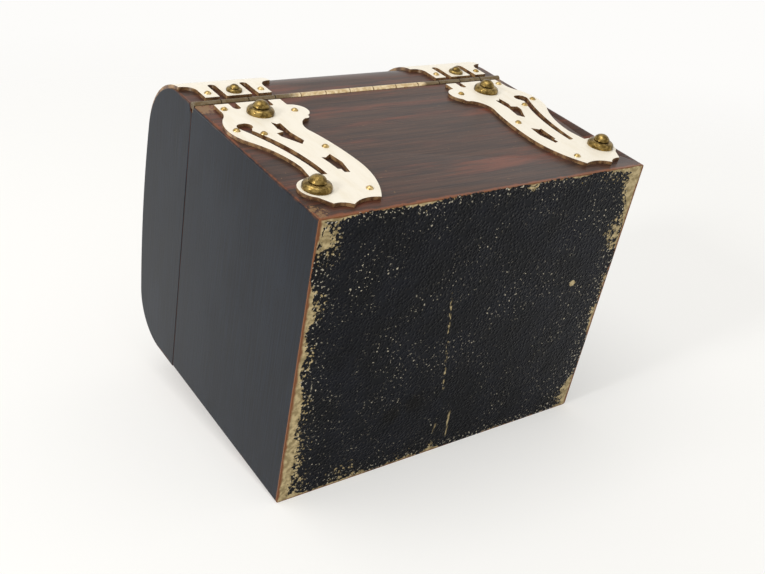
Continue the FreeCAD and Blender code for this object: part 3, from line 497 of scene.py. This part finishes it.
def brass(name, bright, dull, tarnish_and_shade=None):
    """Handled brass: metal with a broken patina, so highlights stay small and the rest goes olive.
    The dark colour it is given under the straps and inside stands partly for tarnish where no hand rubs it
    and partly for painted shade where the straps and the joint keep the light off."""
    def build(put):
        patina = mottle(put, PATINA, 4.0, 0.65)
        handled = put("MapRange", patina, 0.38, 0.66, **SMOOTH)[0]
        body = put("Mix", {0: handled, 6: dull, 7: bright}, **TINT)[2]
        # Painted shade and tarnish: the hinge is darkened under the straps and inside the joint
        if tarnish_and_shade:
            wander = put("Math", mottle(put, TARNISH_AND_SHADE_WANDER), 6.0, operation="MULTIPLY")[0]
            wide, deep, height = off_middle(put)
            aside = put("Math", wide, wander, operation="ADD")[0]
            under = put("MapRange", aside, *SHELTERED, **SMOOTH)[0]
            within = put("MapRange", deep, HALF_DEPTH - HINGE_SHOWS, HALF_DEPTH - HINGE_HIDES, **SMOOTH)[0]
            under = put("Math", under, within, operation="MAXIMUM")[0]
            under = put("Math", under, 0.8, operation="MULTIPLY")[0]
            body = put("Mix", {0: under, 6: body, 7: tarnish_and_shade}, **TINT)[2]
        rough = put("MapRange", patina, 0.3, 0.7, 0.4, 0.2)[0]
        relief = put("Bump", {"Height": mottle(put, BRASS_GRAIN), "Distance": BRASS_RELIEF * MM})[0]
        return put("BsdfPrincipled", {"Base Color": body, "Metallic": 1.0, "Roughness": rough,
                                      "Normal": relief})[0]
    return finished(name, build)


# Pieces
def dress(names, finish):
    """Gives CAD nodes their material."""
    for name in names:
        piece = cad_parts[name]
        piece.data.materials.clear()
        piece.data.materials.append(finish)


def copied(name):
    """A CAD node's shape with its loose triangles joined into faces."""
    shape = bmesh.new()
    shape.from_mesh(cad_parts[name].data)
    bmesh.ops.remove_doubles(shape, verts=shape.verts, dist=SAME_POINT * MM)
    bmesh.ops.dissolve_limit(shape, angle_limit=FLAT_ANGLE, verts=shape.verts, edges=shape.edges)
    return shape


def rounded(shape, edges, offset, segments):
    """Rounds some of a shape's edges by an offset in millimetres."""
    bmesh.ops.bevel(shape, geom=edges, offset=offset * MM, offset_type="OFFSET", affect="EDGES",
                    segments=segments, profile=0.5, material=-1)


def placed(shape, name, body, finish):
    """The shape as an object that moves with a body."""
    mesh = bpy.data.meshes.new(name + "_looks")
    shape.to_mesh(mesh)
    shape.free()
    mesh.materials.append(finish)
    for face in mesh.polygons:
        face.use_smooth = True
    mesh.set_sharp_from_angle(angle=SHADED_ANGLE)
    made = bpy.data.objects.new(name + "_looks", mesh)
    bpy.context.scene.collection.objects.link(made)
    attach(made, body)
    return made


def raised_lining(name, finish):
    """A wall lining whose turned cloth edge stands a little above the rim and closes the joint to the eye."""
    shape = copied(name)
    card_top = max(vertex.co.z for vertex in shape.verts)
    limits = (INNER_WIDTH - LINING_PLAY) * MM, (INNER_DEPTH - LINING_PLAY) * MM
    for vertex in shape.verts:
        if vertex.co.z > card_top - MM:
            vertex.co.z = (RIM + LINING_RISE) * MM
        for axis, limit in enumerate(limits):
            vertex.co[axis] = max(-limit, min(limit, vertex.co[axis]))
    turned_edges = [edge for edge in shape.edges if all(vertex.co.z > card_top for vertex in edge.verts)]
    rounded(shape, turned_edges, LINING_ROUND, 3)
    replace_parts(placed(shape, name, "casket", finish), name)


def rim_bead(name, side, finish):
    """A thin bead on an end's rim, set in from the outside, that shuts the joint to the eye."""
    height = LID_RIM - RIM - BEAD_PLAY
    middle = (side * (HALF_WIDTH - BEAD_SET - BEAD_WIDTH / 2), BEAD_LENGTH / 2 + BEAD_SET - HALF_DEPTH,
              RIM + height / 2)
    shape = bmesh.new()
    bmesh.ops.create_cube(shape, size=MM)
    bmesh.ops.scale(shape, vec=(BEAD_WIDTH, BEAD_LENGTH, height), verts=shape.verts)
    bmesh.ops.translate(shape, vec=Vector(middle) * MM, verts=shape.verts)
    rounded(shape, shape.edges[:], BEAD_ROUND, 2)
    placed(shape, name, "casket", finish)


def worn_corners(name, finish, radius):
    """A board whose upright outer corners are rubbed round, cut face by face along the round."""
    shape = copied(name)
    for side, back in ((1, 1), (1, -1), (-1, 1), (-1, -1)):
        centre = Vector((side * (HALF_WIDTH * MM - radius), back * (HALF_DEPTH * MM - radius), 0))
        for turn in map(math.radians, CORNER_CUTS):
            out = Vector((side * math.cos(turn), back * math.sin(turn), 0))
            everything = shape.verts[:] + shape.edges[:] + shape.faces[:]
            bmesh.ops.bisect_plane(shape, geom=everything, plane_co=centre + out * radius, plane_no=out,
                                   clear_outer=True)
            bmesh.ops.holes_fill(shape, edges=[edge for edge in shape.edges if edge.is_boundary], sides=0)
    bmesh.ops.recalc_face_normals(shape, faces=shape.faces)
    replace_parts(placed(shape, name, "casket", finish), name)


def softened(name, body, finish, width, outside=0.0):
    """A copy of a CAD node whose sharp edges further out along X than outside are rounded."""
    shape = copied(name)
    weight = shape.edges.layers.float.new("bevel_weight_edge")
    for edge in shape.edges:
        sharp = len(edge.link_faces) == 2 and edge.calc_face_angle() > FILED_ANGLE
        edge[weight] = float(sharp and all(abs(vertex.co.x) >= outside for vertex in edge.verts))
    made = placed(shape, name, body, finish)
    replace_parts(made, name)
    rounding = made.modifiers.new("filed edges", "BEVEL")
    rounding.width = width
    rounding.segments = 2
    rounding.limit_method = "WEIGHT"


# The add-on: values a user would change, one operator for each group of pieces and one for the stage
def colour(name, words, text):
    return bpy.props.FloatVectorProperty(name=name, description=words, default=srgb(text), size=4,
                                         subtype="COLOR", min=0.0, max=1.0)


def rounding_size(name, words, size):
    return bpy.props.FloatProperty(name=name, description=words, default=size * MM, min=0.0, unit="LENGTH")


class CasketLook(bpy.types.PropertyGroup):
    """Colours and sizes a user would change."""
    veneer: colour("Veneer", "Lighter colour of the veneer", "4e3427")
    streak: colour("Streak", "Reddish streaks of the veneer", "6e3a27")
    ebony: colour("Ebony", "Lighter colour of the ebonised ends", "141b26")
    rubbed: colour("Rubbed", "Paper's rim rubbed through to the board", "7c4e30")
    paper: colour("Paper", "Black of the base paper", "0d1018")
    worn_paper: colour("Worn paper", "Paper rubbed bare", "c4b186")
    bone: colour("Bone", "Polished face of the bone", "efe7d6")
    # The bone's brown edge colour is partly painted shade on the edge faces
    sawn_bone_and_shade: colour("Sawn bone", "Stained edge of the bone", "5c3d25")
    brass: colour("Brass", "Handled brass", "a08750")
    lining: colour("Lining", "Cloth inside", "6e303d")
    corner: rounding_size("Corner", "Rounding of the body's upright corners", 0.9)
    arris: rounding_size("Arris", "Rounding of the lid ends' arrises", 0.5)
    edge: rounding_size("Edge", "Rounding of the bone's edges", 0.2)


class CASKET_OT_wood(bpy.types.Operator):
    """Dresses the boards of the body and the lid"""
    bl_idname = "casket.wood"
    bl_label = "Wood"

    def execute(self, context):
        look = context.scene.casket_look
        polished = veneer(look)
        stained = ebonised(look)
        edged = lid_end(look)
        dress(VENEER, polished)
        dress(ENDS, stained)
        dress(LID_ENDS, edged)
        dress(("base_board",), plain_wood())
        for name in WALL_VENEER:
            worn_corners(name, polished, look.corner)
        for name in ENDS:
            worn_corners(name, stained, look.corner)
        rim_bead("right_rim_bead", 1, stained)
        rim_bead("left_rim_bead", -1, stained)
        for name in LID_ENDS:
            softened(name, "lid", edged, look.arris, (HALF_WIDTH - END_FACE) * MM)
        return {"FINISHED"}


class CASKET_OT_paper(bpy.types.Operator):
    """Dresses the base paper and the linings"""
    bl_idname = "casket.paper"
    bl_label = "Paper and linings"

    def execute(self, context):
        look = context.scene.casket_look
        embossed = paper(look)
        dress(("base_paper",), embossed)
        worn_corners("base_paper", embossed, look.corner)
        woven = cloth(look)
        dress(LININGS, woven)
        for name in WALL_LININGS:
            raised_lining(name, woven)
        return {"FINISHED"}


class CASKET_OT_bone(bpy.types.Operator):
    """Rounds and dresses the bone straps and the front plate"""
    bl_idname = "casket.bone"
    bl_label = "Bone"

    def execute(self, context):
        look = context.scene.casket_look
        for names, body, bent in ((FLAT_BONE, "casket", False), (BENT_BONE, "lid", True)):
            polished = bone(look, bent)
            dress(names, polished)
            for name in names:
                softened(name, body, polished, look.edge)
        return {"FINISHED"}


class CASKET_OT_brass(bpy.types.Operator):
    """Dresses the bosses, pins, hinge, catch and screws"""
    bl_idname = "casket.brass"
    bl_label = "Brass"

    def execute(self, context):
        look = context.scene.casket_look
        dress(TURNED_BRASS, brass("Brass, turned and handled", look.brass, srgb("5a4824")))
        dress(PINS, brass("Brass, domed pins rubbed bright", srgb("d6bc86"), srgb("8f743f")))
        # The hinge's third colour is its tarnish and painted shade under the straps and inside
        dress(HINGE_BRASS, brass("Brass, drawn hinge strip", srgb("f2deb8"), srgb("c9ae82"), srgb("3d2e1e")))
        dress(CATCH_BRASS, brass("Brass, sheet, dull", srgb("a08a58"), srgb("6f5c34")))
        dress(SCREWS, brass("Brass, cut screws", srgb("97814f"), srgb("63522f")))
        return {"FINISHED"}


def turned_to(way, up):
    """A rotation whose -Z looks along way."""
    back = -way.normalized()
    right = up.cross(back).normalized()
    return Matrix((right, back.cross(right), back)).transposed().to_4x4()


def white_card():
    """The table's smooth white card. Light passes through it from below, it fades into the white room, and
    the camera sees its shadows lifted."""
    def build(put):
        rays = put("LightPath")
        lit = put("BsdfDiffuse", {"Color": srgb(CARD_WHITE)})[0]
        glow = put("Emission", {"Color": srgb(CARD_WHITE), "Strength": 1.0})[0]
        lift = put("Math", rays["Is Camera Ray"], FLOOR_LIFT, operation="MULTIPLY")[0]
        card = put("MixShader", lift, lit, glow)[0]
        away = put("VectorMath", put("TexCoord")["Object"], operation="LENGTH")["Value"]
        gone = put("MapRange", away, *FLOOR_FADE, **SMOOTH)[0]
        for open_side in (rays["Is Shadow Ray"], put("NewGeometry")["Backfacing"]):
            gone = put("Math", gone, open_side, operation="MAXIMUM")[0]
        return put("MixShader", gone, card, put("BsdfTransparent")[0])[0]
    return finished("Table, white card", build)


def add_floor():
    along = (FLOOR_TIP - FLOOR_EDGE).normalized()
    side = Vector((1, 0, 0))
    shape = bmesh.new()
    shape.faces.new([shape.verts.new(FLOOR_EDGE + FLOOR_REACH * (a * side + b * along))
                     for a, b in ((-1, -1), (-1, 1), (1, 1), (1, -1))])
    mesh = bpy.data.meshes.new("table")
    shape.to_mesh(mesh)
    shape.free()
    mesh.materials.append(white_card())
    made = bpy.data.objects.new("table", mesh)
    bpy.context.scene.collection.objects.link(made)


def add_lamps():
    for name, place, width, power in LAMPS:
        lamp = bpy.data.lights.new(name, "AREA")
        lamp.size = width
        lamp.energy = power
        made = bpy.data.objects.new(name, lamp)
        made.matrix_world = Matrix.Translation(place) @ turned_to(AIM - Vector(place), Vector((1, 0, 0)))
        bpy.context.scene.collection.objects.link(made)


def add_world():
    """A white room: full white to the eye and in reflections, dimmer as a light."""
    world = bpy.data.worlds.new("white room")
    world.use_nodes = True
    world.node_tree.nodes.clear()
    put = functools.partial(add_node, world.node_tree)
    rays = put("LightPath")
    seen = rays["Is Camera Ray"]
    for ray in ("Is Transmission Ray", "Is Glossy Ray"):
        seen = put("Math", seen, rays[ray], operation="MAXIMUM")[0]
    strength = put("MapRange", {0: seen, 3: AMBIENT, 4: 1.0})[0]
    room = put("Background", {"Color": srgb("fdfcfa"), "Strength": strength})[0]
    put("OutputWorld", {"Surface": room})
    bpy.context.scene.world = world


def add_camera():
    lens = bpy.data.cameras.new("camera")
    lens.lens = LENS
    lens.clip_start = NEAREST
    right = SIGHT.cross(Vector((0, 1, 0))).normalized()
    up = right.cross(SIGHT).normalized()
    tilted = up * math.cos(ROLL) + right * math.sin(ROLL)
    made = bpy.data.objects.new("camera", lens)
    made.matrix_world = Matrix.Translation(EYE) @ turned_to(SIGHT, tilted)
    bpy.context.scene.collection.objects.link(made)
    bpy.context.scene.camera = made


class CASKET_OT_stage(bpy.types.Operator):
    """Adds the table, the lamps, the white room and the camera"""
    bl_idname = "casket.stage"
    bl_label = "Stage"

    def execute(self, context):
        add_floor()
        add_lamps()
        add_world()
        add_camera()
        context.scene.view_settings.view_transform = "Standard"
        return {"FINISHED"}


class CASKET_PT_panel(bpy.types.Panel):
    """Colours of the casket and the steps that dress it"""
    bl_idname = "CASKET_PT_panel"
    bl_label = "Casket"
    bl_space_type = "VIEW_3D"
    bl_region_type = "UI"
    bl_category = "Casket"

    def draw(self, context):
        for name in CasketLook.__annotations__:
            self.layout.prop(context.scene.casket_look, name)
        for step in STEPS:
            self.layout.operator(step.bl_idname)


STEPS = (CASKET_OT_wood, CASKET_OT_paper, CASKET_OT_bone, CASKET_OT_brass, CASKET_OT_stage)
CLASSES = (CasketLook,) + STEPS + (CASKET_PT_panel,)


def register():
    for item in CLASSES:
        bpy.utils.register_class(item)
    bpy.types.Scene.casket_look = bpy.props.PointerProperty(type=CasketLook)


def unregister():
    del bpy.types.Scene.casket_look
    for item in reversed(CLASSES):
        bpy.utils.unregister_class(item)


def main():
    register()
    bpy.ops.casket.wood()
    bpy.ops.casket.paper()
    bpy.ops.casket.bone()
    bpy.ops.casket.brass()
    bpy.ops.casket.stage()


if __name__ == "__main__":
    main()
